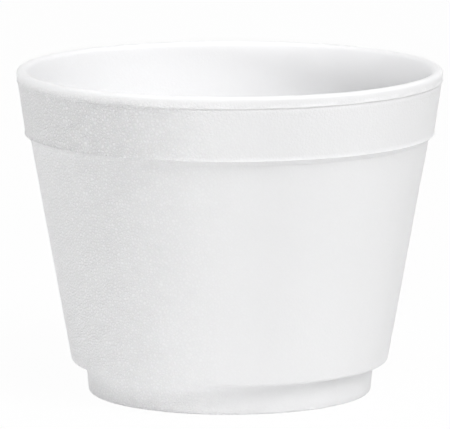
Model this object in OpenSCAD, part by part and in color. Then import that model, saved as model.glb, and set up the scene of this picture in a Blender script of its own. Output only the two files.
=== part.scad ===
// Squat foam bowl for hot or cold food, moulded in one piece from white
// expanded polystyrene beads. Lengths are in millimetres and angles in degrees.
// The bowl is a body of revolution: Z is its axis and its foot stands on Z = 0.

/* [Bowl] */
// Overall height, from the foot to the crest of the lip
bowl_h = 82.6; // [60:0.2:120]
// Outer diameter across the lip
lip_d = 108; // [90:0.5:140]

/* [Lip] */
// Height of the rounded lip, from its underside to its crest
lip_h = 3.2; // [2.6:0.1:6]
// How far the lip stands out past the top of the band, for a lid to catch under
lip_overhang = 0.5; // [0.2:0.1:1.2]
// Radius of the lip's outer edge
lip_outer_round = 1; // [0.5:0.1:2.5]
// Radius of the lip's inner edge
lip_inner_round = 1.6; // [0.3:0.1:2]

/* [Band] */
// Height of the band's face, from the lip down to the shoulder
band_h = 13.1; // [6:0.1:20]
// Slope of the band's face away from upright
band_slope = 7.6; // [0:0.1:12]
// How far the shoulder under the band stands out past the wall
shoulder_w = 1.3; // [0.6:0.1:3]
// Height of the sloped shoulder under the band
shoulder_h = 1.4; // [0.5:0.1:4]
// Radius where the band turns into its shoulder
band_round = 0.7; // [0.2:0.1:1.5]
// Radius in the crease between the shoulder and the wall
crease_round = 0.4; // [0.1:0.1:1.5]

/* [Wall] */
// Thickness of the side wall, square to its slope
wall_t = 2.3; // [1.6:0.1:4]
// Slope of the side wall away from upright
wall_slope = 10.2; // [4:0.2:14]
// Radius of the wall's lower edge, above the foot
wall_edge_round = 1; // [0.3:0.1:2.5]

/* [Foot] */
// Height of the foot, up to the step under the wall
foot_h = 7.6; // [4:0.2:14]
// How far the foot is set in from the wall's lower edge
foot_step = 3.6; // [1.5:0.1:7]
// Slope of the foot's side away from upright
foot_slope = 5.4; // [0:0.2:10]
// Rise of the step's underside, from the foot out to the wall
step_rise = 0.4; // [0:0.1:2]
// Radius in the corner between the foot and the step
step_round = 0.6; // [0.2:0.1:1.5]
// Width of the ring that the bowl stands on
ring_w = 3.4; // [2:0.1:6]
// Radius of the ring's outer edge
ring_outer_round = 0.8; // [0.2:0.1:1.5]
// Radius of the ring's inner edge
ring_inner_round = 0.5; // [0.2:0.1:1.5]

/* [Underside] */
// Depth of the hollow inside the foot ring
hollow_depth = 3; // [1:0.1:5]
// Draft of the hollow's side away from upright
hollow_draft = 8; // [0:0.5:20]
// Radius where the hollow's side meets its roof
hollow_round = 1; // [0.2:0.1:2]
// Diameter of the round mark where the mould was filled
gate_d = 11; // [6:0.5:20]
// Depth of that mark
gate_depth = 0.4; // [0.1:0.1:1]

/* [Inside] */
// Thickness of the floor
floor_t = 2.8; // [1.6:0.1:5]
// Thickness of the foot's side, level
foot_wall_t = 2.8; // [1.8:0.1:5]
// Thickness of the step between the foot and the wall
step_t = 2.5; // [1.6:0.1:5]
// Radius round the edge of the floor
floor_round = 2.2; // [0.5:0.1:4]
// Radius of the inner ledge's edge
ledge_round = 1.5; // [0.3:0.1:3]
// Radius between the inner ledge and the wall
wall_root_round = 2.2; // [0.5:0.1:4]

/* [Hidden] */

// Largest turn between two neighbouring points of a fillet
arc_step = 11;
// Most of a straight edge that its two fillets may use up together
edge_fill = 0.98;
// Smallest length that is divided by
tiny = 1e-6;

// Outer surface, from the lip down
lip_r = lip_d / 2;
lip_low_z = bowl_h - lip_h;
band_top_r = lip_r - lip_overhang;
band_low_z = lip_low_z - band_h;
band_low_r = band_top_r - band_h * tan(band_slope);
wall_top_z = band_low_z - shoulder_h;
wall_top_r = band_low_r - shoulder_w;
wall_low_z = foot_h + step_rise;
wall_low_r = wall_top_r - (wall_top_z - wall_low_z) * tan(wall_slope);
foot_top_r = wall_low_r - foot_step;
foot_low_r = foot_top_r - foot_h * tan(foot_slope);

// Underside
ring_in_r = foot_low_r - ring_w;
hollow_r = ring_in_r - hollow_depth * tan(hollow_draft);
gate_r = gate_d / 2;

// Inner surface, parallel to the outer one, at the thickness of each part
floor_z = hollow_depth + floor_t;
ledge_in_z = foot_h + step_t;
ledge_in_r = foot_top_r + (ledge_in_z - foot_h) * tan(foot_slope) - foot_wall_t;
floor_r = ledge_in_r - (ledge_in_z - floor_z) * tan(foot_slope);
wall_level_t = wall_t / cos(wall_slope);
function wall_in_r(z) = wall_top_r - (wall_top_z - z) * tan(wall_slope) - wall_level_t;
wall_root_z = ledge_in_z + step_rise;

// Corners of half the section, as [radius, height, fillet], from the axis
// under the floor, out and up the outside, over the lip and back down inside
underside = [
    [0, hollow_depth + gate_depth, 0],
    [gate_r, hollow_depth + gate_depth, 0],
    [gate_r, hollow_depth, 0],
    [hollow_r, hollow_depth, hollow_round],
    [ring_in_r, 0, ring_inner_round],
];
outside = [
    [foot_low_r, 0, ring_outer_round],
    [foot_top_r, foot_h, step_round],
    [wall_low_r, wall_low_z, wall_edge_round],
    [wall_top_r, wall_top_z, crease_round],
    [band_low_r, band_low_z, band_round],
    [band_top_r, lip_low_z, 0],
    [lip_r, lip_low_z + lip_overhang, lip_overhang],
];
crest = [
    [lip_r, bowl_h, lip_outer_round],
    [wall_in_r(bowl_h), bowl_h, lip_inner_round],
];
inside = [
    [wall_in_r(wall_root_z), wall_root_z, wall_root_round],
    [ledge_in_r, ledge_in_z, ledge_round],
    [floor_r, floor_z, floor_round],
    [0, floor_z, 0],
];

// Direction from point p to point q, of length 1
function toward(p, q) = (q - p) / norm(q - p);

// Half the angle that the lines from b to a and from b to c make
function half_angle(a, b, c) = acos(toward(b, a) * toward(b, c)) / 2;

// Points of the arc of radius r that rounds the corner b between a and c
function arc_points(a, b, c, r) =
    let (
        half = half_angle(a, b, c),
        into = toward(b, a),
        out = toward(b, c),
        centre = b + (into + out) / norm(into + out) * r / sin(half),
        first = b + into * r / tan(half) - centre,
        side = sign(out[0] * into[1] - out[1] * into[0]),
        turn = side * (180 - 2 * half),
        steps = ceil(abs(turn) / arc_step)
    )
    [for (i = [0:steps])
        let (t = turn * i / steps)
        centre + [
            first[0] * cos(t) - first[1] * sin(t),
            first[0] * sin(t) + first[1] * cos(t)
        ]
    ];

// Outline through the corners with each one rounded by its own fillet. Where
// the fillets at the two ends of an edge need more than the edge has, both of
// them shrink in the same measure.
function rounded(corners) =
    let (
        last = len(corners) - 1,
        p = [for (c = corners) [c[0], c[1]]],
        reach = [for (i = [0:last])
            corners[i][2] == 0 ? 0 : corners[i][2] / tan(half_angle(p[i - 1], p[i], p[i + 1]))
        ],
        room = [for (i = [0:last - 1])
            min(1, edge_fill * norm(p[i + 1] - p[i]) / max(reach[i] + reach[i + 1], tiny))
        ]
    )
    [for (i = [0:last])
        each reach[i] == 0
            ? [p[i]]
            : arc_points(p[i - 1], p[i], p[i + 1], corners[i][2] * min(room[i - 1], room[i]))
    ];

// The whole bowl, turned from its half section
module bowl() {
    color([0.96, 0.96, 0.97])
        rotate_extrude($fn = 180)
            polygon(rounded(concat(underside, outside, crest, inside)));
}

bowl();
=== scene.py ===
"""Squat foam bowl, moulded in one piece from white polystyrene beads.

The bowl is turned from its half section by Geometry Nodes, which also give
its skin the unevenness of moulded foam. Lengths are in metres.
"""

import math

import bmesh
import bpy
from bpy.props import FloatProperty, FloatVectorProperty, IntProperty, PointerProperty
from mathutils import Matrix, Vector


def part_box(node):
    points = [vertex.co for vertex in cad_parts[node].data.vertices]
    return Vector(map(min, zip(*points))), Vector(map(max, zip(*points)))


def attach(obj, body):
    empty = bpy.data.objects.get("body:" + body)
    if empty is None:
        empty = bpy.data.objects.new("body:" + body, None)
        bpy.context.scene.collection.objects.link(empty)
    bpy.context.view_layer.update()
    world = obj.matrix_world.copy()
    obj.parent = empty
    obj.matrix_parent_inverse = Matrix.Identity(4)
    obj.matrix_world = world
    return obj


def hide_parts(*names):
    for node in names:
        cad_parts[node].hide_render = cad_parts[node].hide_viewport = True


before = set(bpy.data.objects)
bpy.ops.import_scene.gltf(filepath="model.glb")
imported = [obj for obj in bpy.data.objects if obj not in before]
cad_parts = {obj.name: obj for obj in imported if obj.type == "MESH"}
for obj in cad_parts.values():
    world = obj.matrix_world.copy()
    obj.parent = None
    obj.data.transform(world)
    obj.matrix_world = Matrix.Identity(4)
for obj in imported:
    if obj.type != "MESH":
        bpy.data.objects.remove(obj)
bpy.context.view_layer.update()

bl_info = {
    "name": "Foam Bowl",
    "version": (1, 0, 0),
    "blender": (4, 5, 0),
    "location": "View3D > Sidebar > Foam Bowl",
    "description": "Builds a moulded foam bowl and the studio it stands in",
    "category": "Add Mesh",
}

NODE = "bowl"
BODY = "root"
WHITE = "#FFFFFF"
NODE_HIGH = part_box(NODE)[1]

# Width of the photograph's frame in pixels, and of the camera's sensor in mm
FRAME_WIDTH = 450
SENSOR_WIDTH = 36

# Large square lamps, as (name, side, azimuth, elevation) in metres and
# degrees. The azimuth is 0 at the camera and 90 at the right.
SOFT_BOXES = (
    ("key", 1.3, 36, 52),
    ("front", 0.8, -20, 14),
    ("left", 0.3, -75, 4),
    ("right", 1.0, 55, 35),
    ("top", 2.0, 0, 88),
)
SOFT_BOX_DISTANCE = 2.5

# Narrow round lamps, as (name, full angle of the cone in degrees, place, target)
SPOTS = (
    ("mouth", 5.6, (0.3, 0, 1.2), (0, 0, 0.06)),
    ("inside", 5.4, (-0.05, -0.7, 0.78), (-0.014, 0.024, 0.078)),
)
SPOT_SOFT_EDGE = 0.6
SPOT_RADIUS = 0.03


def mm(value):
    """Millimetres as metres."""
    return value / 1000.0


def length(name, text, value_mm):
    """A length that a user can set, with its default in millimetres."""
    return FloatProperty(
        name=name, description=text, default=mm(value_mm), min=0.0,
        unit="LENGTH", subtype="DISTANCE", precision=5,
    )


def angle(name, text, degrees):
    """An angle that a user can set, with its default in degrees."""
    return FloatProperty(
        name=name, description=text, default=math.radians(degrees),
        unit="ROTATION", subtype="ANGLE",
    )


def number(name, text, value):
    """A plain number that a user can set."""
    return FloatProperty(name=name, description=text, default=value, min=0.0)


def colour(name, text, hex_value):
    """A colour that a user can set, with its default as an sRGB hex value."""
    return FloatVectorProperty(
        name=name, description=text, default=linear(hex_value), size=4,
        min=0.0, max=1.0, subtype="COLOR",
    )


def linear(hex_value):
    """Linear RGBA of an sRGB hex value such as "#F4F4F7"."""
    channels = [int(hex_value[i:i + 2], 16) / 255 for i in (1, 3, 5)]
    light = [c / 12.92 if c <= 0.04045 else ((c + 0.055) / 1.055) ** 2.4 for c in channels]
    return light + [1.0]


def add_node(tree, kind, inputs=None, **settings):
    """Adds a node with its settings. An input takes a value or the socket that feeds it."""
    node = tree.nodes.new(kind)
    for key, value in settings.items():
        setattr(node, key, value)
    for key, value in (inputs or {}).items():
        if isinstance(value, bpy.types.NodeSocket):
            tree.links.new(value, node.inputs[key])
        else:
            node.inputs[key].default_value = value
    return node


class FOAMBOWL_PG_sizes(bpy.types.PropertyGroup):
    """Sizes of the bowl's section. The height and the width are those of the solid."""

    height: length("Height", "From the foot to the crest of the lip", 1000 * NODE_HIGH.z)
    lip_diameter: length("Lip diameter", "Outer diameter across the lip", 2000 * NODE_HIGH.x)
    lip_height: length("Lip height", "From the lip's underside to its crest", 3.2)
    lip_overhang: length("Lip overhang", "How far the lip stands out past the band", 0.38)
    lip_outer_round: length("Lip outer round", "Radius of the lip's outer edge", 1.0)
    lip_inner_round: length("Lip inner round", "Radius of the lip's inner edge", 1.6)
    flash: length("Flash", "How far the thin line where the mould halves met stands out", 0.2)
    groove_height: length("Groove height", "Height of the fine groove under the lip", 0.34)
    groove_depth: length("Groove depth", "Depth of that groove", 0.14)
    band_bead: length("Band bead", "How far the bead along the band's edge stands out", 0.25)
    band_height: length("Band height", "From the lip down to the shoulder", 13.1)
    band_slope: angle("Band slope", "Slope of the band away from upright", 8.1)
    shoulder_width: length("Shoulder width", "How far the shoulder stands out past the wall", 1.3)
    shoulder_height: length("Shoulder height", "Height of the sloped shoulder", 1.4)
    crease_round: length("Crease round", "Radius between the shoulder and the wall", 0.4)
    wall_thickness: length("Wall thickness", "Square to the wall's slope", 2.3)
    wall_slope: angle("Wall slope", "Slope of the wall away from upright", 10.2)
    wall_edge_round: length("Wall edge round", "Radius of the wall's lower edge", 1.0)
    foot_height: length("Foot height", "Up to the step under the wall", 7.6)
    foot_step: length("Foot step", "How far the foot is set in from the wall's lower edge", 3.6)
    foot_slope: angle("Foot slope", "Slope of the foot's side away from upright", 5.4)
    step_rise: length("Step rise", "Rise of the step's underside out to the wall", 0.4)
    step_round: length("Step round", "Radius between the foot and the step", 0.6)
    ring_width: length("Ring width", "Width of the ring that the bowl stands on", 3.4)
    ring_outer_round: length("Ring outer round", "Radius of the ring's outer edge", 0.8)
    ring_inner_round: length("Ring inner round", "Radius of the ring's inner edge", 0.5)
    hollow_depth: length("Hollow depth", "Depth of the hollow inside the foot ring", 3.0)
    hollow_draft: angle("Hollow draft", "Slope of the hollow's side away from upright", 8.0)
    hollow_round: length("Hollow round", "Radius where the hollow's side meets its roof", 1.0)
    gate_diameter: length("Gate diameter", "Round mark where the mould was filled", 11.0)
    gate_depth: length("Gate depth", "Depth of that mark", 0.4)
    floor_thickness: length("Floor thickness", "Thickness of the floor", 2.8)
    foot_wall_thickness: length("Foot wall thickness", "Thickness of the foot's side", 2.8)
    step_thickness: length("Step thickness", "Between the foot and the wall", 2.5)
    floor_round: length("Floor round", "Radius round the edge of the floor", 2.2)
    ledge_round: length("Ledge round", "Radius of the inner ledge's edge", 1.5)
    root_round: length("Root round", "Radius between the inner ledge and the wall", 2.2)


class FOAMBOWL_PG_foam(bpy.types.PropertyGroup):
    """Look of the foam."""

    skin: colour("Skin", "Colour of the foam", "#F9F9FA")
    seam: colour("Seam", "Colour in the seams between beads", "#E9E9EA")
    bead: length("Bead", "Size of one bead", 0.8)
    bead_relief: length("Bead relief", "Depth of the seams between beads", 0.23)
    # This share sets the relief and the seams' darkness at the bowl's lit right; at its shaded
    # left both are whole, and the darker seams there are painted shade
    lit_side_share: number("Flat share", "Share of the relief at the smooth side of the bowl", 0.11)
    dimple: length("Dimple", "Size of the dimples in the skin", 2.6)
    dimple_depth: length("Dimple depth", "Depth of the dimples", 0.07)
    wave: length("Wave", "Size of the broad waves in the skin", 17.0)
    wave_depth: length("Wave depth", "Depth of the broad waves", 0.12)
    steps_round: IntProperty(
        name="Steps round", description="Faces once round the bowl", default=420, min=12)
    steps_fillet: IntProperty(
        name="Steps in a fillet", description="Points in each fillet", default=4, min=1)


class FOAMBOWL_PG_studio(bpy.types.PropertyGroup):
    """Camera and light."""

    camera_distance: length("Camera distance", "From the point that it looks at", 1600)
    camera_elevation: angle("Camera elevation", "Above level", 9.05)
    aim_height: length("Aim height", "Height of the point that the camera looks at", 44.8)
    camera_lens: number("Lens", "Focal length in mm on a 36 mm sensor", 504.9)
    right_of_centre: number("Right of centre", "Aim point, in pixels right of the centre", 4.7)
    below_centre: number("Below centre", "Aim point, in pixels below the centre", 0.8)
    floor_colour: colour("Floor", "Colour of the floor", "#F8F8F8")
    floor_size: length("Floor size", "Side of the floor", 8000)
    backdrop_share: number("Backdrop share", "Share of plain white in the floor as seen", 0.97)
    key_power: number("Key power", "Watts of the large lamp at the front right", 22.5)
    front_power: number("Front power", "Watts of the low lamp in front", 6.5)
    left_power: number("Left power", "Watts of the low lamp at the left", 25.0)
    right_power: number("Right power", "Watts of the lower lamp at the right", 20.5)
    top_power: number("Top power", "Watts of the large lamp overhead", 21.5)
    mouth_power: number("Mouth power", "Watts of the narrow lamp above the mouth", 8.0)
    inside_power: number("Inside power", "Watts of the narrow lamp on the far inside", 4.2)


def section_corners(s):
    """Corners of half the section as (radius, height, fillet, gap, flash, grain).

    They run from the axis under the floor, out and up the outside, over the
    lip and down the inside. The gap is that of the rings on the edge that
    follows, finer where the photograph's view reaches. The grain is the share
    of the beads' relief there: the inside is pressed smoother than the outside.
    """
    fine, medium, coarse = mm(0.9), mm(1.6), mm(4)
    under, outer, band, inner = 0.5, 0.72, 0.9, 0.1
    slope = math.tan

    def inner_r(z):
        return wall_top_r - (wall_top - z) * slope(s.wall_slope) - level_t

    lip_r = s.lip_diameter / 2
    face_r = lip_r - s.flash
    lip_low = s.height - s.lip_height
    band_top_r = lip_r - s.lip_overhang
    band_low = lip_low - s.band_height
    band_low_r = band_top_r - s.band_height * slope(s.band_slope)
    bead_top_r = band_low_r + s.band_bead * slope(s.band_slope)
    wall_top = band_low - s.shoulder_height
    wall_top_r = band_low_r - s.shoulder_width
    wall_low = s.foot_height + s.step_rise
    wall_low_r = wall_top_r - (wall_top - wall_low) * slope(s.wall_slope)
    foot_top_r = wall_low_r - s.foot_step
    foot_low_r = foot_top_r - s.foot_height * slope(s.foot_slope)
    ring_in_r = foot_low_r - s.ring_width
    hollow_r = ring_in_r - s.hollow_depth * slope(s.hollow_draft)
    gate_r = s.gate_diameter / 2
    gate_z = s.hollow_depth + s.gate_depth
    gate_round = s.gate_depth / 2
    floor_z = s.hollow_depth + s.floor_thickness
    ledge_z = s.foot_height + s.step_thickness
    ledge_r = foot_top_r + (ledge_z - s.foot_height) * slope(s.foot_slope) - s.foot_wall_thickness
    floor_r = ledge_r - (ledge_z - floor_z) * slope(s.foot_slope)
    level_t = s.wall_thickness / math.cos(s.wall_slope)
    root_z = ledge_z + s.step_rise
    flash_low = lip_low + s.flash / 2
    return [
        (0, gate_z, 0, coarse, 0, under),
        (gate_r, gate_z, gate_round, coarse, 0, under),
        (gate_r, s.hollow_depth, gate_round, coarse, 0, under),
        (hollow_r, s.hollow_depth, s.hollow_round, coarse, 0, under),
        (ring_in_r, 0, s.ring_inner_round, fine, 0, under),
        (foot_low_r, 0, s.ring_outer_round, fine, 0, outer),
        (foot_top_r, s.foot_height, s.step_round, fine, 0, outer),
        (wall_low_r, wall_low, s.wall_edge_round, fine, 0, outer),
        (wall_top_r, wall_top, s.crease_round, fine, 0, outer),
        (band_low_r + s.band_bead, band_low, s.band_bead / 2, fine, 0, band),
        (bead_top_r, band_low + s.band_bead, 0, fine, 0, band),
        (band_top_r, lip_low - s.groove_height, 0, fine, 0, band),
        (band_top_r - s.groove_depth, lip_low, 0, fine, 0, outer),
        (face_r, flash_low, 0, fine, 0, outer),
        (lip_r, flash_low + s.flash, 0, fine, 1, outer),
        (face_r, flash_low + 2 * s.flash, 0, fine, 0, outer),
        (lip_r, s.height, s.lip_outer_round, fine, 0, inner),
        (inner_r(s.height), s.height, s.lip_inner_round, medium, 0, inner),
        (inner_r(root_z), root_z, s.root_round, medium, 0, inner),
        (ledge_r, ledge_z, s.ledge_round, medium, 0, inner),
        (floor_r, floor_z, s.floor_round, coarse, 0, inner),
        (0, floor_z, 0, coarse, 0, inner),
    ]


def section_object(corners):
    """The half section as a line of edges that carries each corner's values."""
    mesh = bpy.data.meshes.new("bowl section")
    points = [(radius, height, 0) for radius, height, *_ in corners]
    edges = [(i, i + 1) for i in range(len(points) - 1)]
    mesh.from_pydata(points, edges, [])
    for column, name in ((2, "fillet"), (3, "gap"), (4, "flash"), (5, "grain")):
        attribute = mesh.attributes.new(name, "FLOAT", "POINT")
        attribute.data.foreach_set("value", [float(corner[column]) for corner in corners])
    obj = bpy.data.objects.new("foam_bowl", mesh)
    bpy.context.scene.collection.objects.link(obj)
    return obj


def turning_tree():
    """Geometry Nodes that turn a half section into a foam moulding."""
    tree = bpy.data.node_groups.new("Foam moulding", "GeometryNodeTree")
    sockets = (
        ("Section", "NodeSocketGeometry"),
        ("Steps Round", "NodeSocketInt"),
        ("Steps in a Fillet", "NodeSocketInt"),
        ("Dimple", "NodeSocketFloat"),
        ("Dimple Depth", "NodeSocketFloat"),
        ("Wave", "NodeSocketFloat"),
        ("Wave Depth", "NodeSocketFloat"),
        ("Flash", "NodeSocketFloat"),
        ("Foam", "NodeSocketMaterial"),
    )
    for name, kind in sockets:
        tree.interface.new_socket(name=name, in_out="INPUT", socket_type=kind)
    tree.interface.new_socket(name="Moulding", in_out="OUTPUT", socket_type="NodeSocketGeometry")
    given = add_node(tree, "NodeGroupInput").outputs
    corner = {
        name: add_node(tree, "GeometryNodeInputNamedAttribute", {
            "Name": name,
        }, data_type="FLOAT").outputs["Attribute"]
        for name in ("fillet", "gap", "flash")
    }

    # The section: a line whose corners are rounded and whose edges are divided
    line = add_node(tree, "GeometryNodeMeshToCurve", {"Mesh": given["Section"]})
    rounded = add_node(tree, "GeometryNodeFilletCurve", {
        "Curve": line.outputs["Curve"], "Count": given["Steps in a Fillet"],
        "Radius": corner["fillet"], "Limit Radius": True,
    }, mode="POLY")
    index = add_node(tree, "GeometryNodeInputIndex")
    following = add_node(tree, "ShaderNodeMath", {0: index.outputs[0], 1: 1.0}, operation="ADD")
    place = add_node(tree, "GeometryNodeInputPosition")
    next_place = add_node(tree, "GeometryNodeFieldAtIndex", {
        "Value": place.outputs[0], "Index": following.outputs[0],
    }, data_type="FLOAT_VECTOR", domain="POINT")
    edge = add_node(tree, "ShaderNodeVectorMath", {
        0: place.outputs[0], 1: next_place.outputs["Value"],
    }, operation="DISTANCE")
    share = add_node(tree, "ShaderNodeMath", {
        0: edge.outputs["Value"], 1: corner["gap"],
    }, operation="DIVIDE")
    divided = add_node(tree, "GeometryNodeSubdivideCurve", {
        "Curve": rounded.outputs["Curve"], "Cuts": share.outputs[0],
    })

    # Turned round the axis: a small circle carries the section, moved in by its radius
    hub = mm(1)
    moved = add_node(tree, "GeometryNodeTransform", {
        "Geometry": divided.outputs["Curve"], "Translation": (-hub, 0, 0), "Scale": (1, -1, 1),
    })
    circle = add_node(tree, "GeometryNodeCurvePrimitiveCircle", {
        "Resolution": given["Steps Round"], "Radius": hub,
    }, mode="RADIUS")
    upright = add_node(tree, "GeometryNodeSetCurveNormal", {
        "Curve": circle.outputs["Curve"],
    }, mode="Z_UP")
    turned = add_node(tree, "GeometryNodeCurveToMesh", {
        "Curve": upright.outputs["Curve"], "Profile Curve": moved.outputs["Geometry"],
        "Fill Caps": False,
    })
    outside = add_node(tree, "GeometryNodeFlipFaces", {"Mesh": turned.outputs["Mesh"]})
    weld = mm(0.01)
    closed = add_node(tree, "GeometryNodeMergeByDistance", {
        "Geometry": outside.outputs["Mesh"], "Distance": weld,
    })

    # Skin: the foam shrinks away from the mould in broad waves and small dimples
    normal = add_node(tree, "GeometryNodeInputNormal")
    depths = []
    for name in ("Dimple", "Wave"):
        scale = add_node(tree, "ShaderNodeMath", {0: 1.0, 1: given[name]}, operation="DIVIDE")
        noise = add_node(tree, "ShaderNodeTexNoise", {
            "Vector": place.outputs[0], "Scale": scale.outputs[0], "Detail": 1.0,
        })
        depths.append(add_node(tree, "ShaderNodeMath", {
            0: noise.outputs[0], 1: given[f"{name} Depth"],
        }, operation="MULTIPLY"))
    skin = add_node(tree, "ShaderNodeMath", {
        0: depths[0].outputs[0], 1: depths[1].outputs[0],
    }, operation="ADD")

    # The flash is broken: it stands out in some places and is rubbed off in
    # others, which are as long as a few beads
    patch = mm(3.5)
    whole, rubbed_off, deepest = 0.4, 0.62, 1.2
    broken = add_node(tree, "ShaderNodeTexNoise", {
        "Vector": place.outputs[0], "Scale": 1 / patch, "Detail": 2.0,
    })
    worn = add_node(tree, "ShaderNodeMapRange", {
        "Value": broken.outputs[0], "From Min": whole, "From Max": rubbed_off,
        "To Min": 0.0, "To Max": deepest,
    })
    rubbed = add_node(tree, "ShaderNodeMath", {
        0: worn.outputs[0], 1: given["Flash"],
    }, operation="MULTIPLY")
    lost = add_node(tree, "ShaderNodeMath", {
        0: rubbed.outputs[0], 1: corner["flash"],
    }, operation="MULTIPLY")
    inward = add_node(tree, "ShaderNodeMath", {
        0: skin.outputs[0], 1: lost.outputs[0],
    }, operation="ADD")
    outward = add_node(tree, "ShaderNodeMath", {
        0: inward.outputs[0], 1: -1.0,
    }, operation="MULTIPLY")
    offset = add_node(tree, "ShaderNodeVectorMath", {
        0: normal.outputs[0], "Scale": outward.outputs[0],
    }, operation="SCALE")
    shaped = add_node(tree, "GeometryNodeSetPosition", {
        "Geometry": closed.outputs["Geometry"], "Offset": offset.outputs[0],
    })
    smooth = add_node(tree, "GeometryNodeSetShadeSmooth", {
        "Geometry": shaped.outputs["Geometry"], "Shade Smooth": True,
    })
    real = add_node(tree, "GeometryNodeRealizeInstances", {"Geometry": smooth.outputs["Geometry"]})
    dressed = add_node(tree, "GeometryNodeSetMaterial", {
        "Geometry": real.outputs["Geometry"], "Material": given["Foam"],
    })
    add_node(tree, "NodeGroupOutput", {"Moulding": dressed.outputs["Geometry"]})
    return tree


def apply_tree(obj, tree, values):
    """Runs the tree on obj with the named input values and keeps the result as its plain mesh."""
    modifier = obj.modifiers.new(tree.name, "NODES")
    modifier.node_group = tree
    sockets = {
        item.name: item.identifier
        for item in tree.interface.items_tree if item.in_out == "INPUT"
    }
    for name, value in values.items():
        modifier[sockets[name]] = value
    bpy.context.view_layer.update()
    depsgraph = bpy.context.evaluated_depsgraph_get()
    result = bpy.data.meshes.new_from_object(obj.evaluated_get(depsgraph))
    obj.modifiers.remove(modifier)
    section = obj.data
    obj.data = result
    bpy.data.meshes.remove(section)
    result.name = obj.name


def face_outwards(mesh):
    """Turns every face of a closed mesh outwards."""
    shape = bmesh.new()
    shape.from_mesh(mesh)
    bmesh.ops.recalc_face_normals(shape, faces=shape.faces)
    shape.to_mesh(mesh)
    shape.free()


def expanded_polystyrene(foam):
    """Expanded polystyrene, steam-moulded: beads pressed flat against the mould.

    The eye sees a soft matt white that light goes a little way into, with a
    fine net of seams where the beads fused and each bead a shade different.
    """
    material = bpy.data.materials.new("expanded polystyrene")
    material.use_nodes = True
    tree = material.node_tree
    tree.nodes.clear()
    place = add_node(tree, "ShaderNodeTexCoord").outputs["Object"]

    # Beads are never in rows: a slow noise pushes the cells about by a third of a bead
    drift_size, drift_reach = 2.5 * foam.bead, 0.7 * foam.bead
    drift = add_node(tree, "ShaderNodeTexNoise", {
        "Vector": place, "Scale": 1 / drift_size, "Detail": 1.0,
    })
    centred = add_node(tree, "ShaderNodeVectorMath", {
        0: drift.outputs["Color"], 1: (0.5, 0.5, 0.5),
    }, operation="SUBTRACT")
    pushed = add_node(tree, "ShaderNodeVectorMath", {
        0: centred.outputs[0], "Scale": drift_reach,
    }, operation="SCALE")
    cells_at = add_node(tree, "ShaderNodeVectorMath", {
        0: place, 1: pushed.outputs[0],
    }, operation="ADD")
    beads = add_node(tree, "ShaderNodeTexVoronoi", {
        "Vector": cells_at.outputs[0], "Scale": 1 / foam.bead,
    }, feature="F1")
    seams = add_node(tree, "ShaderNodeTexVoronoi", {
        "Vector": cells_at.outputs[0], "Scale": 1 / foam.bead,
    }, feature="DISTANCE_TO_EDGE")
    seam_width = 0.25
    groove = add_node(tree, "ShaderNodeMapRange", {
        "Value": seams.outputs["Distance"], "From Min": 0.0, "From Max": seam_width,
        "To Min": 0.0, "To Max": 1.0,
    }, interpolation_type="SMOOTHSTEP")

    # The beads' relief and their seams' darkness are strongest at the bowl's left, where it is in
    # shade, and fade towards the lit right; the extra seam darkness at the left is painted shade
    shaded_end, lit_end = -0.7 * NODE_HIGH.x, 0.15 * NODE_HIGH.x
    across = add_node(tree, "ShaderNodeSeparateXYZ", {"Vector": place})
    side = add_node(tree, "ShaderNodeMapRange", {
        "Value": across.outputs["X"], "From Min": shaded_end, "From Max": lit_end,
        "To Min": 1.0, "To Max": foam.lit_side_share,
    }, interpolation_type="SMOOTHSTEP")
    share = add_node(tree, "ShaderNodeAttribute", attribute_name="grain")
    grain_and_painted_shade = add_node(tree, "ShaderNodeMath", {
        0: side.outputs[0], 1: share.outputs["Fac"],
    }, operation="MULTIPLY")

    # Colour: seams a shade darker, beads a little different from one another
    darkest_bead = 0.55
    tone = add_node(tree, "ShaderNodeSeparateColor", {"Color": beads.outputs["Color"]})
    shade = add_node(tree, "ShaderNodeMapRange", {
        "Value": tone.outputs[0], "From Min": 0.0, "From Max": 1.0,
        "To Min": darkest_bead, "To Max": 1.0,
    })
    lightness = add_node(tree, "ShaderNodeMath", {
        0: groove.outputs[0], 1: shade.outputs[0],
    }, operation="MULTIPLY")
    darkness = add_node(tree, "ShaderNodeMath", {
        0: 1.0, 1: lightness.outputs[0],
    }, operation="SUBTRACT")
    # Scaled by the side share, so the seams' extra darkness at the bowl's shaded left is painted
    # shade
    darker = add_node(tree, "ShaderNodeMath", {
        0: darkness.outputs[0], 1: grain_and_painted_shade.outputs[0],
    }, operation="MULTIPLY")
    skin = add_node(tree, "ShaderNodeMix", {
        "Factor": darker.outputs[0], 6: foam.skin, 7: foam.seam,
    }, data_type="RGBA")

    # Relief: each bead a low cushion between its seams, with a faint grain over all
    grain_size, grain_share, cushion_fall = 0.5 * foam.bead, 0.7, -0.5
    grain = add_node(tree, "ShaderNodeTexNoise", {
        "Vector": place, "Scale": 1 / grain_size, "Detail": 2.0,
    })
    cushion = add_node(tree, "ShaderNodeMath", {
        0: beads.outputs["Distance"], 1: cushion_fall, 2: groove.outputs[0],
    }, operation="MULTIPLY_ADD")
    relief = add_node(tree, "ShaderNodeMath", {
        0: grain.outputs[0], 1: grain_share, 2: cushion.outputs[0],
    }, operation="MULTIPLY_ADD")
    height = add_node(tree, "ShaderNodeMath", {
        0: relief.outputs[0], 1: grain_and_painted_shade.outputs[0],
    }, operation="MULTIPLY")
    bump = add_node(tree, "ShaderNodeBump", {
        "Height": height.outputs[0], "Distance": foam.bead_relief, "Strength": 1.0,
    })
    surface = add_node(tree, "ShaderNodeBsdfPrincipled", {
        "Base Color": skin.outputs[2],
        "Roughness": 0.55,
        "IOR": 1.5,
        "Subsurface Weight": 0.3,
        "Subsurface Radius": (1.0, 1.0, 1.0),
        "Subsurface Scale": mm(0.8),
        "Normal": bump.outputs[0],
    })
    add_node(tree, "ShaderNodeOutputMaterial", {"Surface": surface.outputs[0]})
    return material


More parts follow.
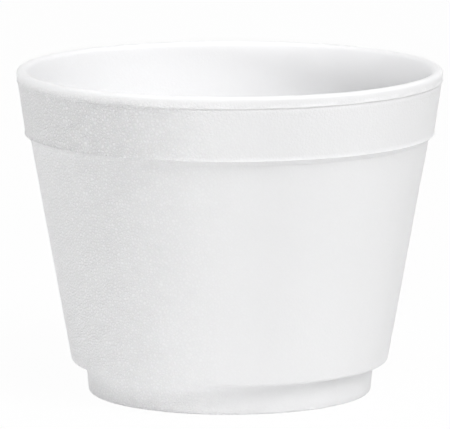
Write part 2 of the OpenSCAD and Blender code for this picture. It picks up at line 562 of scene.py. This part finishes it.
def studio_paper(studio):
    """White paper sweep, uncoated: a matt floor that keeps the bowl's shadow.

    Towards the camera, and in reflections, part of it is plain white, so that
    it runs into the white background.
    """
    material = bpy.data.materials.new("white studio paper")
    material.use_nodes = True
    tree = material.node_tree
    tree.nodes.clear()
    paper = add_node(tree, "ShaderNodeBsdfPrincipled", {
        "Base Color": studio.floor_colour, "Roughness": 0.9, "Specular IOR Level": 0.2,
    })
    white = add_node(tree, "ShaderNodeEmission", {"Color": linear(WHITE), "Strength": 1.0})
    seen = seen_directly(tree)
    share = add_node(tree, "ShaderNodeMath", {
        0: seen, 1: studio.backdrop_share,
    }, operation="MULTIPLY")
    mixed = add_node(tree, "ShaderNodeMixShader", {
        0: share.outputs[0], 1: paper.outputs[0], 2: white.outputs[0],
    })
    add_node(tree, "ShaderNodeOutputMaterial", {"Surface": mixed.outputs[0]})
    return material


def seen_directly(tree):
    """1 for camera, glossy and transmission rays, and 0 for the rays that carry light."""
    path = add_node(tree, "ShaderNodeLightPath").outputs
    mirror = add_node(tree, "ShaderNodeMath", {
        0: path["Is Camera Ray"], 1: path["Is Glossy Ray"],
    }, operation="MAXIMUM")
    return add_node(tree, "ShaderNodeMath", {
        0: mirror.outputs[0], 1: path["Is Transmission Ray"],
    }, operation="MAXIMUM").outputs[0]


def white_world():
    """Plain white where the camera or a reflection sees it, and no light of its own."""
    world = bpy.data.worlds.new("white room")
    world.use_nodes = True
    tree = world.node_tree
    tree.nodes.clear()
    light = add_node(tree, "ShaderNodeBackground", {
        "Color": linear(WHITE), "Strength": seen_directly(tree),
    })
    add_node(tree, "ShaderNodeOutputWorld", {"Surface": light.outputs[0]})
    bpy.context.scene.world = world


def aimed(obj, place, target):
    """Puts a camera or lamp at a place, turned so that it looks at the target."""
    obj.location = place
    obj.rotation_euler = (Vector(target) - Vector(place)).to_track_quat("-Z", "Y").to_euler()
    bpy.context.scene.collection.objects.link(obj)
    return obj


def soft_box(name, power, side, azimuth, elevation, target):
    """A square lamp, seen from the target at this azimuth and elevation."""
    lamp = bpy.data.lights.new(name, "AREA")
    lamp.shape = "SQUARE"
    lamp.size = side
    lamp.energy = power
    turn, lift = math.radians(azimuth), math.radians(elevation)
    place = Vector((
        math.sin(turn) * math.cos(lift), -math.cos(turn) * math.cos(lift), math.sin(lift),
    )) * SOFT_BOX_DISTANCE + Vector(target)
    return aimed(bpy.data.objects.new(name, lamp), place, target)


def spot(name, power, cone, place, target):
    """A narrow round lamp with a soft edge."""
    lamp = bpy.data.lights.new(name, "SPOT")
    lamp.energy = power
    lamp.spot_size = math.radians(cone)
    lamp.spot_blend = SPOT_SOFT_EDGE
    lamp.shadow_soft_size = SPOT_RADIUS
    return aimed(bpy.data.objects.new(name, lamp), place, target)


class FOAMBOWL_OT_bowl(bpy.types.Operator):
    """Build the foam bowl from its section"""

    bl_idname = "foam_bowl.bowl"
    bl_label = "Foam Bowl"

    def execute(self, context):
        sizes = context.scene.foam_bowl_sizes
        foam = context.scene.foam_bowl_foam
        bowl = section_object(section_corners(sizes))
        apply_tree(bowl, turning_tree(), {
            "Steps Round": foam.steps_round,
            "Steps in a Fillet": foam.steps_fillet,
            "Dimple": foam.dimple,
            "Dimple Depth": foam.dimple_depth,
            "Wave": foam.wave,
            "Wave Depth": foam.wave_depth,
            "Flash": sizes.flash,
            "Foam": expanded_polystyrene(foam),
        })
        face_outwards(bowl.data)
        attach(bowl, BODY)
        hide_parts(NODE)
        return {"FINISHED"}


class FOAMBOWL_OT_stage(bpy.types.Operator):
    """Set the floor, the lamps and the camera"""

    bl_idname = "foam_bowl.stage"
    bl_label = "Stage"

    def execute(self, context):
        studio = context.scene.foam_bowl_studio
        half = studio.floor_size / 2
        corners = [(-half, -half, 0), (half, -half, 0), (half, half, 0), (-half, half, 0)]
        mesh = bpy.data.meshes.new("floor")
        mesh.from_pydata(corners, [], [(0, 1, 2, 3)])
        mesh.materials.append(studio_paper(studio))
        floor = bpy.data.objects.new("floor", mesh)
        context.scene.collection.objects.link(floor)
        white_world()

        aim = (0, 0, studio.aim_height)
        for name, *box in SOFT_BOXES:
            soft_box(f"{name} lamp", getattr(studio, f"{name}_power"), *box, aim)
        for name, *beam in SPOTS:
            spot(f"{name} lamp", getattr(studio, f"{name}_power"), *beam)

        data = bpy.data.cameras.new("camera")
        data.sensor_width = SENSOR_WIDTH
        data.lens = studio.camera_lens
        data.shift_x = -studio.right_of_centre / FRAME_WIDTH
        data.shift_y = studio.below_centre / FRAME_WIDTH
        data.clip_end = 100
        lift = studio.camera_elevation
        place = Vector((0, -math.cos(lift), math.sin(lift))) * studio.camera_distance + Vector(aim)
        context.scene.camera = aimed(bpy.data.objects.new("camera", data), place, aim)
        context.scene.view_settings.view_transform = "Standard"
        return {"FINISHED"}


class FOAMBOWL_PT_panel(bpy.types.Panel):
    """Lists what the add-on builds and the sizes that it uses"""

    bl_label = "Foam Bowl"
    bl_idname = "FOAMBOWL_PT_panel"
    bl_space_type = "VIEW_3D"
    bl_region_type = "UI"
    bl_category = "Foam Bowl"

    def draw(self, context):
        for operator in (FOAMBOWL_OT_bowl, FOAMBOWL_OT_stage):
            self.layout.operator(operator.bl_idname)
        scene = context.scene
        for group in (scene.foam_bowl_sizes, scene.foam_bowl_foam, scene.foam_bowl_studio):
            box = self.layout.box()
            for name in group.bl_rna.properties.keys():
                if name not in ("rna_type", "name"):
                    box.prop(group, name)


CLASSES = (
    FOAMBOWL_PG_sizes,
    FOAMBOWL_PG_foam,
    FOAMBOWL_PG_studio,
    FOAMBOWL_OT_bowl,
    FOAMBOWL_OT_stage,
    FOAMBOWL_PT_panel,
)


def register():
    for cls in CLASSES:
        bpy.utils.register_class(cls)
    bpy.types.Scene.foam_bowl_sizes = PointerProperty(type=FOAMBOWL_PG_sizes)
    bpy.types.Scene.foam_bowl_foam = PointerProperty(type=FOAMBOWL_PG_foam)
    bpy.types.Scene.foam_bowl_studio = PointerProperty(type=FOAMBOWL_PG_studio)


def unregister():
    del bpy.types.Scene.foam_bowl_studio
    del bpy.types.Scene.foam_bowl_foam
    del bpy.types.Scene.foam_bowl_sizes
    for cls in reversed(CLASSES):
        bpy.utils.unregister_class(cls)


def main():
    register()
    bpy.ops.foam_bowl.bowl()
    bpy.ops.foam_bowl.stage()


if __name__ == "__main__":
    main()
